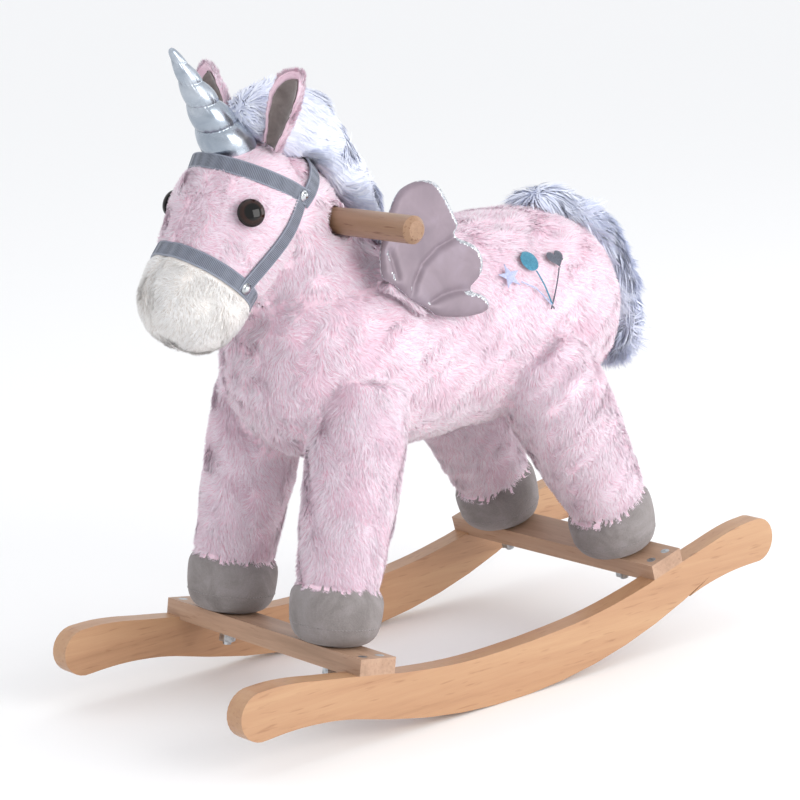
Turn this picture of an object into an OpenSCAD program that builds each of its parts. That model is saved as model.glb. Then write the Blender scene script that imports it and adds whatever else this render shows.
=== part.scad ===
// Plush unicorn rocking horse on two wooden rockers.
// Units are millimetres, +Z up, the horse faces -Y and its left side is +X.
// Every piece is drawn in a level build frame, then the whole toy is leaned
// forward by rest_lean. The soles are a run of flats, and it stands on the
// one set at that angle.

/* [Rockers] */
// Width over the outside faces of the two rockers
frame_w = 280; // [240:1:340]
// Thickness of a rocker board
rocker_t = 20; // [15:1:26]
// Radius of the rocking arc
rock_r = 590; // [450:5:800]
// Nose-down lean when the toy stands free
rest_lean = 2.5; // [0:0.5:8]

/* [Crossbars] */
// Distance of each crossbar from the middle of the rockers
bar_u = 179; // [150:1:210]
// Width of a crossbar
bar_w = 39; // [30:1:50]
// Thickness of a crossbar where it sits on a rocker
bar_t = 14.5; // [10:0.5:22]
// How far the bar drops between the rockers
bar_drop = 2.5; // [0:0.5:5]

/* [Legs] */
// Sideways distance of a front leg from the middle
front_leg_x = 75; // [60:1:90]
// Sideways distance of a hind leg from the middle
rear_leg_x = 80; // [60:1:90]
// Diameter of the wooden post inside a leg
post_d = 26; // [20:1:32]
// Length of the wooden post inside a leg
post_len = 212; // [180:1:230]

/* [Handle] */
// Diameter of the handle dowel
handle_d = 24; // [20:1:30]
// Length of the handle dowel
handle_len = 296; // [240:1:340]

/* [Soft parts] */
// Thickness of the plush cloth
cloth_t = 2.5; // [1.5:0.5:4]
// Largest radius of the barrel of the body
body_r = 101; // [90:1:110]
// Length of an ear above its seam
ear_len = 76; // [50:1:90]
// Backward tilt of the left ear
ear_left_back = 10; // [-10:1:40]
// Backward tilt of the right ear
ear_right_back = 0; // [-10:1:40]
// Outward tilt of the left ear
ear_left_splay = 30; // [0:1:40]
// Outward tilt of the right ear
ear_right_splay = 20; // [0:1:40]
// Thickness of a wing
wing_t = 10; // [6:0.5:16]

/* [Trim] */
// Width of the bridle webbing
strap_w = 14; // [10:0.5:20]
// Thickness of the bridle webbing
strap_t = 1.8; // [1:0.1:3]
// Diameter of an eye
eye_d = 24; // [18:1:30]

/* [Hidden] */
round_fn = 64;
lean_shift_y = 66.5 * sin(rest_lean);
lean_shift_z = rock_r * (1 - cos(rest_lean));
leg_u = 176;
bar_slope = 12;
rocker_x = frame_w / 2 - rocker_t;
seat_v = 67.4;
body_v = 315;
head_u = -177.6;
head_v = 453.4;
head_tilt = 41.7;
neck_u = -79.8;
neck_v = 331.5;
neck_tilt = 28.2;
handle_u = -106;
handle_v = 439.5;
wing_lean = 11;

pine = [0.87, 0.68, 0.47];
beech = [0.86, 0.65, 0.47];
ply = [0.80, 0.66, 0.46];
steel = [0.75, 0.76, 0.78];
pink = [0.95, 0.82, 0.85];
fluff = [0.93, 0.93, 0.91];
cream = [0.92, 0.90, 0.86];
lilac = [0.88, 0.88, 0.94];
suede = [0.60, 0.57, 0.54];
taupe = [0.36, 0.32, 0.30];
silver = [0.74, 0.75, 0.77];
webbing = [0.53, 0.57, 0.62];
satin = [0.80, 0.74, 0.76];
black = [0.05, 0.04, 0.04];

// ---------- curve helpers ----------

// One point of a smooth curve between b and c
function curve_point(a, b, c, d, s) =
    0.5 * (2 * b + (c - a) * s + (2 * a - 5 * b + 4 * c - d) * s * s
    + (3 * b - a - 3 * c + d) * s * s * s);

// A smooth curve through every point, n steps between neighbours
function smooth(p, n) = let (m = len(p) - 1)
    concat([for (i = [0 : m - 1], k = [0 : n - 1])
        curve_point(p[max(i - 1, 0)], p[i], p[i + 1], p[min(i + 2, m)], k / n)], [p[m]]);

function mirrored(p) = [for (i = [len(p) - 1 : -1 : 0]) [-p[i][0], p[i][1]]];

// ---------- placing ----------

// Leans the level toy onto the floor
module rest() {
    translate([0, lean_shift_y, lean_shift_z]) rotate([rest_lean, 0, 0]) children();
}

// Frame of a leg pair: z runs up the posts from the top of the crossbar
module leg_frame(side, x = 0) {
    translate([x, side * bar_u, seat_v]) rotate([side * bar_slope, 0, 0])
        translate([0, side * (leg_u - bar_u), bar_t]) children();
}

// Body frame: z runs along the barrel from nose to tail
module body_frame() {
    translate([0, 0, body_v]) rotate([-90, 0, 0]) children();
}

// Neck frame: z runs up the neck
module neck_frame() {
    translate([0, neck_u, neck_v]) rotate([neck_tilt, 0, 0]) children();
}

// Head frame: z runs from the skull to the tip of the muzzle, +Y is the brow
module head_frame() {
    translate([0, head_u, head_v]) rotate([180 - head_tilt, 0, 0]) children();
}

// ---------- turned soft shapes, g grows or shrinks them ----------

module turned(p, g) {
    rotate_extrude($fn = round_fn) offset_profile(p, g);
}

// Profile points are [radius, height]; g moves the wall outwards
module offset_profile(p, g) {
    m = len(p) - 1;
    polygon([for (i = [0 : m]) [max(p[i][0] + (i == 0 || i == m ? 0 : g), 0),
        p[i][1] + (i == 0 ? -g : i == m ? g : 0)]]);
}

body_profile = [[0, -190], [34, -187], [62, -175], [84, -152], [97, -118], [101, -70], [101, 0],
    [101, 70], [101, 120], [97, 160], [84, 194], [62, 217], [34, 229], [0, 232]];
neck_profile = [[0, -30], [84, -30], [80, 15], [71, 50], [64, 82], [60, 112], [58, 140], [54, 158],
    [44, 172], [26, 185], [0, 189]];
head_profile = [[0, -66], [26, -61.5], [47, -46], [59, -25], [62.5, 0], [61, 20], [56, 42],
    [51, 62], [50, 86], [47, 104], [38, 119], [22, 130], [0, 134]];
front_leg_profile = [[0, 50], [41, 50], [42, 66], [43.5, 90], [46, 125], [47.5, 160], [47, 200],
    [42, 232], [0, 246]];
rear_leg_profile = [[0, 50], [42, 50], [44, 66], [48, 100], [52, 140], [54, 180], [51, 212],
    [42, 238], [0, 248]];
hoof_profile = [[0, 0], [25, 0], [34, 4], [39.5, 13], [41.5, 28], [41.5, 44], [39, 57], [0, 57]];

module body_shape(g = 0) { body_frame() turned(body_profile, g); }
module neck_shape(g = 0) { neck_frame() turned(neck_profile, g); }
module head_shape(g = 0) { head_frame() turned(head_profile, g); }

// ---------- rockers and crossbars ----------

tip_u = 303;
tip_v = 66.5;
tip_r = 21.3;
arc_step = 4;
arc_points = [for (k = [-4 : 6]) let (a = 2 - rest_lean + arc_step * k, r = rock_r / cos(arc_step / 2))
    [r * sin(a), rock_r - r * cos(a)]];
under_curve = smooth([[206, 35.5], [222, 39.4], [241, 42.6], [262, 44.9], [282, 45.6], [300, 45.3]], 3);
tip_curve = [for (a = [-84 : 14 : 84]) [tip_u + tip_r * cos(a), tip_v + tip_r * sin(a)]];
over_curve = smooth([[301, 87.8], [282, 87.2], [260, 84.2], [235, 79], [212, 74.4], [195, 70.8],
    [179, 67.4], [160, 63.4], [145, 60.2], [100, 53.2], [55, 49.3], [0, 48]], 3);
right_half = concat(under_curve, tip_curve, over_curve);

module rocker_board() {
    rotate([90, 0, 90]) linear_extrude(rocker_t)
        polygon(concat(arc_points, right_half, mirrored(right_half)));
}

module rocker(x) {
    color(beech) rest() difference() {
        translate([x, 0, 0]) rocker_board();
        for (side = [-1, 1]) bar_frame(side) screw_pattern();
    }
}

module rocker_left() { rocker(rocker_x); }
module rocker_right() { rocker(-rocker_x - rocker_t); }

// Frame of a crossbar: z is up from the seat on the rocker
module bar_frame(side) {
    translate([0, side * bar_u, seat_v]) rotate([side * bar_slope, 0, 0]) children();
}

module countersunk_screw(head_r, shank_r, depth) {
    translate([0, 0, -head_r * 0.6]) cylinder(r1 = shank_r, r2 = head_r, h = head_r * 0.6, $fn = 24);
    translate([0, 0, -depth]) cylinder(r = shank_r, h = depth - head_r * 0.6, $fn = 24);
}

// Two screws down into each rocker
module screw_pattern() {
    for (x = [-1, 1], y = [-1, 1]) translate([x * (rocker_x + rocker_t / 2), y * 9.5, bar_t])
        countersunk_screw(4.2, 2, 42);
}

module crossbar(side, leg_x) {
    inner = 2 * rocker_x;
    color(pine) rest() difference() {
        bar_frame(side) union() {
            translate([-frame_w / 2, -bar_w / 2, 0]) cube([frame_w, bar_w, bar_t]);
            translate([-inner / 2, -bar_w / 2, -bar_drop]) cube([inner, bar_w, bar_drop + 1]);
        }
        bar_frame(side) screw_pattern();
        for (x = [-leg_x, leg_x]) leg_frame(side, x)
            translate([0, 0, -40]) cylinder(r = 4.2, h = 60, $fn = 32);
    }
}

module crossbar_front() { crossbar(-1, front_leg_x); }
module crossbar_rear() { crossbar(1, rear_leg_x); }

module crossbar_screws() {
    color(steel) rest() for (side = [-1, 1]) bar_frame(side) screw_pattern();
}

// ---------- leg bolts ----------

module at_legs() {
    for (side = [-1, 1], x = [-1, 1])
        leg_frame(side, x * (side < 0 ? front_leg_x : rear_leg_x)) children();
}

module leg_bolts() {
    under = bar_t + bar_drop;
    color(steel) rest() at_legs() {
        translate([0, 0, -under - 12]) cylinder(r = 7.5, h = 10.4, $fn = 6);
        translate([0, 0, -under - 15]) cylinder(r = 3.9, h = under + 60, $fn = 32);
    }
}

module leg_washers() {
    under = bar_t + bar_drop;
    color(steel) rest() at_legs() translate([0, 0, -under - 1.6]) difference() {
        cylinder(r = 10, h = 1.6, $fn = 40);
        translate([0, 0, -1]) cylinder(r = 4.1, h = 4, $fn = 32);
    }
}

// ---------- wooden frame inside ----------

module post(side, x) {
    color(beech) rest() leg_frame(side, x) difference() {
        cylinder(r = post_d / 2, h = post_len, $fn = 48);
        translate([0, 0, -1]) cylinder(r = 4, h = 48, $fn = 32);
        translate([0, 0, post_len + 22]) countersunk_screw(5, 2.4, 62);
    }
}

module post_front_left() { post(-1, front_leg_x); }
module post_front_right() { post(-1, -front_leg_x); }
module post_rear_left() { post(1, rear_leg_x); }
module post_rear_right() { post(1, -rear_leg_x); }

module beam_blank(side, leg_x) {
    leg_frame(side) translate([-leg_x - 14, -18, post_len]) cube([2 * leg_x + 28, 36, 22]);
}

module beam(side, leg_x) {
    color(pine) rest() difference() {
        intersection() { beam_blank(side, leg_x); body_shape(-cloth_t - 8); }
        spine_blank();
        for (x = [-leg_x, leg_x]) leg_frame(side, x)
            translate([0, 0, post_len + 22]) countersunk_screw(5, 2.4, 62);
    }
}

module beam_front() { beam(-1, front_leg_x); }
module beam_rear() { beam(1, rear_leg_x); }

module spine_blank() {
    translate([-32, -158, 302]) cube([64, 316, 18]);
}

module neck_screw_pattern() {
    for (y = [-132, -96]) translate([0, y, 302]) rotate([180, 0, 0]) countersunk_screw(5, 2.4, 62);
}

module spine_board() {
    color(ply) rest() difference() { spine_blank(); neck_screw_pattern(); }
}

module neck_board_space() {
    translate([-9, 0, 0]) rotate([90, 0, 90]) linear_extrude(18)
        polygon([[-152, 320], [-74, 320], [-80, 400], [-84, 452], [-100, 466], [-160, 474],
        [-174, 446], [-160, 390]]);
}

module neck_board() {
    color(ply) rest() difference() {
        neck_board_space();
        translate([0, handle_u, handle_v]) rotate([0, 90, 0])
            cylinder(r = handle_d / 2 - handle_waist, h = 60, center = true, $fn = 64);
        neck_screw_pattern();
        handle_screw_solid();
    }
}

module frame_screws() {
    color(steel) rest() {
        at_legs() translate([0, 0, post_len + 22]) countersunk_screw(5, 2.4, 62);
        neck_screw_pattern();
    }
}

// ---------- handle ----------

module handle_screw_solid() {
    translate([0, -82, 448]) rotate([-70.5, 0, 0]) countersunk_screw(4.2, 2, 34);
}

// The dowel is turned down a little where the neck hides it, half as long as this each side
handle_waist = 0.3;
handle_waist_end = 61;

module handle_solid(g = 0) {
    h = handle_len / 2 - 4;
    translate([0, handle_u, handle_v]) rotate([0, 90, 0]) {
        cylinder(r = handle_d / 2 - handle_waist + g, h = 2 * handle_waist_end + 1, center = true,
            $fn = 64);
        for (s = [0, 180]) rotate([s, 0, 0]) {
            translate([0, 0, handle_waist_end])
                cylinder(r = handle_d / 2 + g, h = h - handle_waist_end, $fn = 64);
            translate([0, 0, h])
                cylinder(r1 = handle_d / 2 + g, r2 = handle_d / 2 - 4 + g, h = 4, $fn = 64);
        }
    }
}

module handle() {
    color(beech) rest() difference() { handle_solid(); handle_screw_solid(); }
}

module handle_screw() {
    color(steel) rest() handle_screw_solid();
}

// ---------- plush body ----------

module frame_space() {
    for (side = [-1, 1]) beam_blank(side, side < 0 ? front_leg_x : rear_leg_x);
    spine_blank();
    at_legs() cylinder(r = post_d / 2, h = post_len + 1, $fn = 48);
    at_legs() translate([0, 0, post_len + 21]) cylinder(r = 5.2, h = 3, $fn = 24);
    for (y = [-132, -96]) translate([0, y, 300]) cylinder(r = 5.2, h = 4, $fn = 24);
    neck_board_space();
}

module torso_skin() {
    color(pink) rest() difference() {
        body_shape();
        body_shape(-cloth_t);
        at_legs() cylinder(r = post_d / 2, h = post_len, $fn = 48);
        neck_board_space();
    }
}

module torso_stuffing() {
    color(fluff) rest() difference() { body_shape(-cloth_t); frame_space(); }
}

module neck_skin() {
    color(pink) rest() difference() {
        neck_shape();
        neck_shape(-cloth_t);
        body_shape();
        head_shape();
        handle_solid();
    }
}

module neck_stuffing() {
    color(fluff) rest() difference() {
        neck_shape(-cloth_t);
        body_shape();
        head_shape();
        neck_board_space();
        handle_solid();
        translate([0, -84, 447]) rotate([-70.5, 0, 0]) cylinder(r = 4.4, h = 8, $fn = 24);
    }
}

// ---------- head ----------

muzzle_start = 64;

module head_band(z0, z1) {
    head_frame() translate([-150, -150, z0]) cube([300, 300, z1 - z0]);
}

module head_skin() {
    color(pink) rest() difference() {
        head_shape();
        head_shape(-cloth_t);
        head_band(muzzle_start, 200);
        neck_board_space();
        body_shape(0.1);
        handle_solid(0.3);
        eye_shanks();
    }
}

module muzzle_skin() {
    color(cream) rest() difference() {
        head_shape();
        head_shape(-cloth_t);
        head_band(-100, muzzle_start);
    }
}

module head_stuffing() {
    color(fluff) rest() difference() {
        head_shape(-cloth_t);
        neck_board_space();
        body_shape(0.1);
        handle_solid(0.3);
        eye_shanks();
        eye_washer_pair();
    }
}

// ---------- legs ----------

module leg_shape(side, x, g = 0) {
    leg_frame(side, x) translate([0, 0, 50]) rotate([side < 0 ? -5 : 14, x < 0 ? 2 : -2, 0])
        translate([0, 0, -50]) turned(side < 0 ? front_leg_profile : rear_leg_profile, g);
}

module leg(side, x) {
    color(pink) rest() difference() {
        leg_shape(side, x);
        leg_shape(side, x, -cloth_t);
        body_shape();
        leg_frame(side, x) turned(hoof_profile, 0);
    }
}

module leg_stuffing(side, x) {
    color(fluff) rest() difference() {
        leg_shape(side, x, -cloth_t);
        body_shape();
        leg_frame(side, x) turned(hoof_profile, 0);
        leg_frame(side, x) cylinder(r = post_d / 2, h = post_len, $fn = 48);
    }
}

module hoof(side, x) {
    color(suede) rest() leg_frame(side, x) difference() {
        turned(hoof_profile, 0);
        translate([0, 0, -1]) cylinder(r = post_d / 2, h = 70, $fn = 48);
    }
}

module leg_front_left() { leg(-1, front_leg_x); }
module leg_front_right() { leg(-1, -front_leg_x); }
module leg_rear_left() { leg(1, rear_leg_x); }
module leg_rear_right() { leg(1, -rear_leg_x); }
module leg_stuffing_front_left() { leg_stuffing(-1, front_leg_x); }
module leg_stuffing_front_right() { leg_stuffing(-1, -front_leg_x); }
module leg_stuffing_rear_left() { leg_stuffing(1, rear_leg_x); }
module leg_stuffing_rear_right() { leg_stuffing(1, -rear_leg_x); }
module hoof_front_left() { hoof(-1, front_leg_x); }
module hoof_front_right() { hoof(-1, -front_leg_x); }
module hoof_rear_left() { hoof(1, rear_leg_x); }
module hoof_rear_right() { hoof(1, -rear_leg_x); }

// ---------- horn, eyes, ears ----------

module horn() {
    color(silver) rest() difference() {
        translate([0, -185.6, 515.4]) rotate([29, 0, 0]) rotate_extrude($fn = round_fn)
            polygon([[0, -14], [20, -14], [21, -2], [21.5, 8], [18.5, 14], [18.8, 22], [17, 31],
            [14.5, 36], [14.5, 43], [12.6, 52], [10.4, 57], [10, 63], [8, 71], [6.2, 77],
            [5.6, 84], [3.4, 94], [0, 99]]);
        head_shape();
        head_frame() translate([0, 0, -28.9]) rotate([11.3, 0, 0])
            translate([-30, 40, -strap_w / 2 - 0.2]) cube([60, 26, strap_w + 0.4]);
    }
}

// What the mane keeps clear for the horn
module horn_space() {
    translate([0, 0, -15]) cylinder(r = 22.2, h = 27, $fn = 48);
    translate([0, 0, 11.9]) cylinder(r1 = 22.2, r2 = 15.4, h = 34, $fn = 48);
}

// An eye sits this far down the head and this far round from the brow
eye_z = 12;
eye_turn = 63;

module eye_place(side) {
    head_frame() rotate([0, 0, 90 - side * eye_turn]) translate([62.6, 0, eye_z])
        rotate([0, 90, 0]) children();
}

module eye(side) {
    color(black) rest() eye_place(side) {
        difference() {
            scale([1, 1, 0.6]) sphere(r = eye_d / 2, $fn = 48);
            translate([0, 0, -20]) cube(40, center = true);
        }
        translate([0, 0, -16]) cylinder(r = 2.5, h = 16, $fn = 24);
    }
}

module eye_shanks() {
    for (side = [-1, 1]) eye_place(side)
        translate([0, 0, -16]) cylinder(r = 2.5, h = 17, $fn = 24);
}

module eye_washer_pair() {
    for (side = [-1, 1]) eye_place(side) translate([0, 0, -6.6]) cylinder(r = 9, h = 2, $fn = 32);
}

module eye_left() { eye(1); }
module eye_right() { eye(-1); }

module eye_washers() {
    color(fluff) rest() difference() { eye_washer_pair(); eye_shanks(); }
}

// Frame of an ear: z runs up the ear from its seam, +Y looks back
module ear_frame(side, back) {
    splay = side > 0 ? ear_left_splay : ear_right_splay;
    translate([side * 29, -157, 513]) rotate([-back, side * splay, 0]) rotate([0, 0, side * 20])
        children();
}

ear_outline = smooth([[-12, 0], [-17, 18], [-18, 36], [-12, 58], [0, ear_len], [12, 58], [18, 37],
    [17, 18], [12, 0]], 3);
lining_outline = smooth([[-8, 4], [-12, 19], [-13, 36], [-8, 55], [0, ear_len - 10],
    [8, 55], [13, 36], [12, 19], [8, 4]], 3);

module ear_leaf(p, y0, t) {
    translate([0, y0 + t, 0]) rotate([90, 0, 0]) linear_extrude(t) polygon(p);
}

module ear(side, back) {
    color(pink) rest() ear_frame(side, back) {
        ear_leaf(ear_outline, -2.5, 7);
        rotate([0, 90, 0]) cylinder(r = 2.5, h = 24, center = true, $fn = 24);
    }
}

module ear_lining(side, back) {
    color(taupe) rest() ear_frame(side, back) ear_leaf(lining_outline, -4, 1.5);
}

module ear_left() { ear(1, ear_left_back); }
module ear_right() { ear(-1, ear_right_back); }
module ear_lining_left() { ear_lining(1, ear_left_back); }
module ear_lining_right() { ear_lining(-1, ear_right_back); }

// ---------- mane and tail ----------

// Each entry is [distance back, height, half width, half thickness]
mane_path = [[-168, 520, 12, 15], [-151, 530, 13, 25], [-131, 526, 18, 33], [-113, 519, 27, 34],
    [-101, 504, 29, 33], [-91, 486, 30, 32], [-79, 467, 30, 31], [-66, 446, 29, 29],
    [-56, 424, 27, 25], [-45, 404, 25, 20], [-34, 388, 21, 15], [-24, 375, 15, 10]];

tail_path = [[164, 409, 15, 9], [184, 403, 24, 13], [206, 390, 29, 17], [225, 371, 31, 18],
    [238, 349, 32, 18], [246, 327, 32, 18], [252, 305, 31, 17], [256, 287, 28, 16],
    [258, 271, 22, 13], [257, 258, 13, 9]];

module tuft_chain(p) {
    for (i = [0 : len(p) - 2]) hull() for (k = [i, i + 1])
        translate([0, p[k][0], p[k][1]]) scale([p[k][2], p[k][3], p[k][3]]) sphere(r = 1, $fn = 14);
}

module mane() {
    color(lilac) rest() difference() {
        tuft_chain(mane_path);
        neck_shape(0.1);
        head_shape(0.1);
        body_shape(0.1);
        handle_solid(0.3);
        translate([0, -185.6, 515.4]) rotate([29, 0, 0])
            horn_space();
        intersection() { neck_shape(strap_t + 0.2); crown_slab(); }
    }
}

module tail() {
    color(lilac) rest() difference() { tuft_chain(tail_path); body_shape(0.6); }
}

// ---------- bridle ----------

module band_shell() {
    difference() { head_shape(strap_t + 0.1); head_shape(0.1); }
}

// The cheek straps cross the rings this far round from the brow
cheek_turn = 101;

module poll_shape(g) { head_shape(g); neck_shape(g); }
module poll_shell() { difference() { poll_shape(strap_t + 0.1); poll_shape(0.1); } }

module browband() {
    color(webbing) rest() intersection() {
        poll_shell();
        head_frame() translate([0, 0, -28.9]) rotate([11.3, 0, 0])
            translate([-150, -24, -strap_w / 2]) cube([300, 174, strap_w]);
    }
}

module crown_slab() {
    translate([0, -143, 466]) rotate([37.9, 0, 0])
        translate([-150, 8, -strap_w / 2]) cube([300, 120, strap_w]);
}

module crown_strap() {
    color(webbing) rest() difference() {
        intersection() { neck_shape(strap_t + 0.1); crown_slab(); }
        neck_shape(0.1);
        head_shape(0.1);
    }
}

module cheek_strap(side) {
    color(webbing) rest() intersection() {
        band_shell();
        head_frame() rotate([0, 0, 90 - side * cheek_turn])
            translate([20, -strap_w / 2, -22.9]) cube([60, strap_w, 79.7]);
    }
}

module cheek_strap_left() { cheek_strap(1); }
module cheek_strap_right() { cheek_strap(-1); }

module nose_ring() { head_frame() translate([0, 0, muzzle_start]) children(); }

module noseband() {
    color(webbing) rest() intersection() {
        band_shell();
        nose_ring() translate([-150, -16, -strap_w / 2]) cube([300, 166, strap_w]);
    }
}

module chin_strap() {
    color(webbing) rest() difference() {
        intersection() {
            band_shell();
            nose_ring() translate([-150, -150, -strap_w / 2]) cube([300, 134, strap_w]);
        }
        neck_shape(0.1);
        body_shape(0.1);
    }
}

module rivet_cap() {
    rotate_extrude($fn = 32) polygon([[0, 0], [5, 0], [5, 0.8], [3.8, 1.8], [2, 2.3], [0, 2.4]]);
}

module rivets() {
    color(steel) rest() difference() {
        for (side = [-1, 1]) {
            head_frame() rotate([0, 0, 90 - side * cheek_turn]) translate([52.9, 0, muzzle_start])
                rotate([0, 90, 0]) rivet_cap();
            translate([side * 57.8, -144, 466]) rotate([0, side * 90, 0]) rivet_cap();
        }
        head_shape(strap_t + 0.15);
        neck_shape(strap_t + 0.15);
    }
}

// ---------- wings ----------

wing_outline = smooth([[-91, 387], [-101, 393], [-101, 408], [-94, 427], [-80, 450], [-65, 465],
    [-40, 469], [-23, 461], [-12, 435], [-9, 424], [-14, 415], [7, 403], [12, 388], [5, 376], [-9,
    367], [7, 358], [9, 347], [-5, 344], [-28, 346], [-51, 352], [-57, 358], [-75, 370]], 3);

module wing(side) {
    color(satin) rest() translate([side * 103, 0, 345]) rotate([0, -side * wing_lean, 0])
        translate([-wing_t / 2, 0, -345]) rotate([90, 0, 90]) linear_extrude(wing_t)
        polygon(wing_outline);
}

module wing_left() { wing(1); }
module wing_right() { wing(-1); }

// Cloth web that holds a wing out from the shoulder along its seam
wing_seam_line = [[90.1, -88, 383], [95.4, -60, 358]];

module wing_seam(side) {
    color(pink) rest() difference() {
        hull() for (p = wing_seam_line, d = [3.2, 30])
            translate([side * (p[0] - d), p[1], p[2]]) sphere(r = 2.5, $fn = 12);
        body_shape(0.05);
        neck_shape(0.05);
    }
}

module wing_seam_left() { wing_seam(1); }
module wing_seam_right() { wing_seam(-1); }

rocker_left();
rocker_right();
crossbar_front();
crossbar_rear();
crossbar_screws();
leg_bolts();
leg_washers();
post_front_left();
post_front_right();
post_rear_left();
post_rear_right();
beam_front();
beam_rear();
spine_board();
neck_board();
frame_screws();
handle();
handle_screw();
torso_skin();
torso_stuffing();
neck_skin();
neck_stuffing();
head_skin();
muzzle_skin();
head_stuffing();
leg_front_left();
leg_front_right();
leg_rear_left();
leg_rear_right();
leg_stuffing_front_left();
leg_stuffing_front_right();
leg_stuffing_rear_left();
leg_stuffing_rear_right();
hoof_front_left();
hoof_front_right();
hoof_rear_left();
hoof_rear_right();
horn();
mane();
tail();
ear_left();
ear_right();
ear_lining_left();
ear_lining_right();
eye_left();
eye_right();
eye_washers();
browband();
crown_strap();
cheek_strap_left();
cheek_strap_right();
noseband();
chin_strap();
rivets();
wing_left();
wing_right();
wing_seam_left();
wing_seam_right();
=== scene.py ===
"""Rocking horse: a plush winged horse on two wooden rockers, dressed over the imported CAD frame."""
import math

import bmesh
import bpy
import numpy as np
from mathutils import Matrix, Vector
from mathutils.bvhtree import BVHTree
from mathutils.kdtree import KDTree


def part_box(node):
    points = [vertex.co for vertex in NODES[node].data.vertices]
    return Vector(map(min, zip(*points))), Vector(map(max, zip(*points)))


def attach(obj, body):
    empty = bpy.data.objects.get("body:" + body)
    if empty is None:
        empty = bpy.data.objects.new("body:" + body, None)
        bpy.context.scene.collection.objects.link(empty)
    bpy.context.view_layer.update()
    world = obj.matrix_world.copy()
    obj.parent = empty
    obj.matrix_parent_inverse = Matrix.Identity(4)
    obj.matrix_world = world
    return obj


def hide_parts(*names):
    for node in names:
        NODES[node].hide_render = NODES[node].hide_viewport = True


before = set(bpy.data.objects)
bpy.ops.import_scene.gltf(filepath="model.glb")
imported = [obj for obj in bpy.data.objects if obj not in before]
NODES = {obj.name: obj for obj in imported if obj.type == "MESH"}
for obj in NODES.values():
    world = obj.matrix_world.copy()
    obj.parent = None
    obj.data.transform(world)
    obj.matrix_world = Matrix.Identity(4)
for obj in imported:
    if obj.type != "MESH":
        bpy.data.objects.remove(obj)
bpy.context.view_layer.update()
ROOT = "rocking_horse"

# ---------- the level drawing frame, in millimetres, leaned onto the floor ----------

REST_LEAN = math.radians(2.5)
ROCK_R = 590.0
REST = (Matrix.Translation((0, 66.5 * math.sin(REST_LEAN) / 1000, ROCK_R * (1 - math.cos(REST_LEAN)) / 1000))
        @ Matrix.Rotation(REST_LEAN, 4, "X"))
HEAD_TILT = math.radians(41.7)
HEAD_AT = (0, -177.6, 453.4)
HEAD_AXIS = np.array([0, -math.sin(HEAD_TILT), -math.cos(HEAD_TILT)])
HEAD_BROW = np.array([0, -math.cos(HEAD_TILT), math.sin(HEAD_TILT)])


def place(x, u, v):
    """A point of the level drawing, in mm, as a world point in metres."""
    return REST @ Vector((x / 1000, u / 1000, v / 1000))


def heading(x, u, v):
    """A direction of the level drawing as a unit world vector."""
    return (REST.to_3x3() @ Vector((x, u, v))).normalized()


def head_point(side, brow, along):
    """A point of the head, in mm: sideways, towards the brow, and from the skull towards the muzzle."""
    p = np.array(HEAD_AT) + HEAD_BROW * brow + HEAD_AXIS * along
    return place(side, p[1], p[2])


def fitted(ob, body=ROOT, replaced=()):
    """Says which body a piece rides on and the CAD nodes it stands for."""
    if replaced:
        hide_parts(*replaced)
    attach(ob, body)


def unit(a):
    return a / np.maximum(np.linalg.norm(a, axis=-1, keepdims=True), 1e-12)


# ---------- colour and materials ----------


def rgb(code):
    """A linear colour from a hex code."""
    parts = [int(code[i:i + 2], 16) / 255 for i in (0, 2, 4)]
    return tuple(c / 12.92 if c <= 0.04045 else ((c + 0.055) / 1.055) ** 2.4 for c in parts) + (1,)


def shader(name, base="ffffff", rough=0.6, metal=0.0, sheen=0.0, coat=0.0):
    """A Principled material, and its node tree and shader."""
    m = bpy.data.materials.new(name)
    m.use_nodes = True
    b = m.node_tree.nodes["Principled BSDF"]
    b.inputs["Base Color"].default_value = rgb(base)
    b.inputs["Roughness"].default_value = rough
    b.inputs["Metallic"].default_value = metal
    b.inputs["Sheen Weight"].default_value = sheen
    b.inputs["Sheen Roughness"].default_value = 0.5
    b.inputs["Coat Weight"].default_value = coat
    b.inputs["Coat Roughness"].default_value = 0.05
    m.diffuse_color = rgb(base)
    return m, m.node_tree, b


def node(tree, kind, settings=None, **inputs):
    """Adds a node. Inputs are named by their label, with spaces as underscores."""
    n = tree.nodes.new(kind)
    for key, value in (settings or {}).items():
        setattr(n, key, value)
    for key, value in inputs.items():
        socket = n.inputs[int(key[1:])] if key[0] == "_" else n.inputs[key.replace("_", " ")]
        if hasattr(value, "links"):
            tree.links.new(value, socket)
        else:
            socket.default_value = value
    return n


def stretched(tree, scale=(1, 1, 1)):
    """Object coordinates, scaled along each axis."""
    where = node(tree, "ShaderNodeTexCoord").outputs["Object"]
    return node(tree, "ShaderNodeMapping", None, Vector=where, Scale=scale).outputs["Vector"]


def ramp(tree, factor, stops):
    """A colour ramp from [position, hex] stops."""
    n = node(tree, "ShaderNodeValToRGB", None, Fac=factor)
    while len(n.color_ramp.elements) < len(stops):
        n.color_ramp.elements.new(0.5)
    for e, (position, code) in zip(n.color_ramp.elements, stops):
        e.position = position
        e.color = rgb(code)
    return n.outputs["Color"]


def tint(tree, b, factor, stops):
    """A shader's colour, from a ramp."""
    tree.links.new(ramp(tree, factor, stops), b.inputs["Base Color"])


def gloss(tree, b, factor, gain, least):
    """A shader's roughness, from a factor."""
    rough = math_node(tree, "ADD", math_node(tree, "MULTIPLY", factor, gain), least)
    tree.links.new(rough, b.inputs["Roughness"])


def blend(tree, a, share_a, b, share_b):
    """A weighted sum of two factors."""
    first = math_node(tree, "MULTIPLY", a, share_a)
    return math_node(tree, "ADD", first, math_node(tree, "MULTIPLY", b, share_b))


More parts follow.
